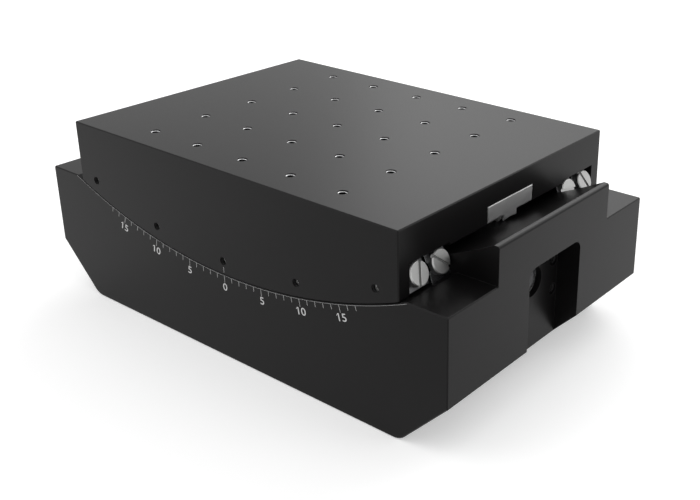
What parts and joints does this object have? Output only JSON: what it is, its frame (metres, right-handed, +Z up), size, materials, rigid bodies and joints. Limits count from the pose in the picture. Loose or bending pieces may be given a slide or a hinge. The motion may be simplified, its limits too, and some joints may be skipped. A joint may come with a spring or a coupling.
{
  "type": "motorized goniometer stage",
  "caption": "Motorized goniometer stage: a tapped table tilts on crossed-roller arc rails above a curved base bed, driven by a worm and a toothed sector.",
  "frame": {"origin": "centre of the base's bottom face", "axes": "+X along the direction of tilt, towards the end with the open drive bay; +Y along the tilt axis; +Z up"},
  "size_m": [0.21, 0.125, 0.078],
  "materials": {
    "black_anodised": "satin black anodised",
    "hardened_steel": "ground",
    "bright_screws": "polished stainless",
    "dark_screws": "blackened",
    "sector_steel": "satin ground",
    "cage_brass": "satin",
    "plain_aluminium": "turned",
    "motor_iron": "lacquered laminations",
    "nickel_shell": "nickel plated",
    "black_plastic": "moulded"
  },
  "bodies": {
    "base": {"base_body": "black_anodised", "base_rail_front": "hardened_steel", "base_rail_back": "hardened_steel", "base_rail_screws": "bright_screws", "base_rail_stop_screws": "bright_screws", "bearing_outer_rings": "hardened_steel", "bearing_shields": "dark_screws", "motor_flange": "plain_aluminium", "motor_stator": "motor_iron", "motor_rear_cap": "plain_aluminium", "motor_bearings": "hardened_steel", "motor_screws": "dark_screws", "access_cover": "black_anodised", "access_cover_screws": "dark_screws", "end_cover": "black_anodised", "end_cover_screws": "dark_screws", "connector_shell": "nickel_shell", "connector_insert": "black_plastic", "connector_pins": "cage_brass", "limit_sensors": "black_plastic"},
    "table": {"table_plate": "black_anodised", "table_rail_front": "hardened_steel", "table_rail_back": "hardened_steel", "table_rail_screws": "bright_screws", "table_rail_stop_screws": "bright_screws", "preload_screws": "bright_screws", "worm_sector": "sector_steel", "sector_screws": "bright_screws", "sensor_flag": "plain_aluminium", "sensor_flag_screws": "dark_screws"},
    "cage_front": {"cage_front": "cage_brass", "rollers_front": "hardened_steel"},
    "cage_back": {"cage_back": "cage_brass", "rollers_back": "hardened_steel"},
    "worm_spindle": {"worm": "hardened_steel", "worm_shaft": "hardened_steel", "worm_pin": "hardened_steel", "bearing_inner_rings": "hardened_steel", "shaft_coupling": "plain_aluminium", "coupling_screws": "dark_screws", "motor_rotor": "motor_iron"}
  },
  "joints": [
    {"name": "table_tilt", "type": "hinge", "parent": "base", "child": "table", "pos_m": [0, 0, 0.261], "axis": [0, 1, 0], "range_deg": [-15, 15]},
    {"name": "cage_front_roll", "type": "hinge", "parent": "base", "child": "cage_front", "pos_m": [0, 0, 0.261], "axis": [0, 1, 0], "range_deg": [-7.5, 7.5]},
    {"name": "cage_back_roll", "type": "hinge", "parent": "base", "child": "cage_back", "pos_m": [0, 0, 0.261], "axis": [0, 1, 0], "range_deg": [-7.5, 7.5]},
    {"name": "worm_spin", "type": "hinge", "parent": "base", "child": "worm_spindle", "pos_m": [0, 0, 0.0385], "axis": [1, 0, 0], "range_deg": [-6480, 6480]}
  ],
  "couplings": [
    {"joint": "cage_front_roll", "follows": "table_tilt", "ratio": 0.5},
    {"joint": "cage_back_roll", "follows": "table_tilt", "ratio": 0.5},
    {"joint": "worm_spin", "follows": "table_tilt", "ratio": 432}
  ]
}
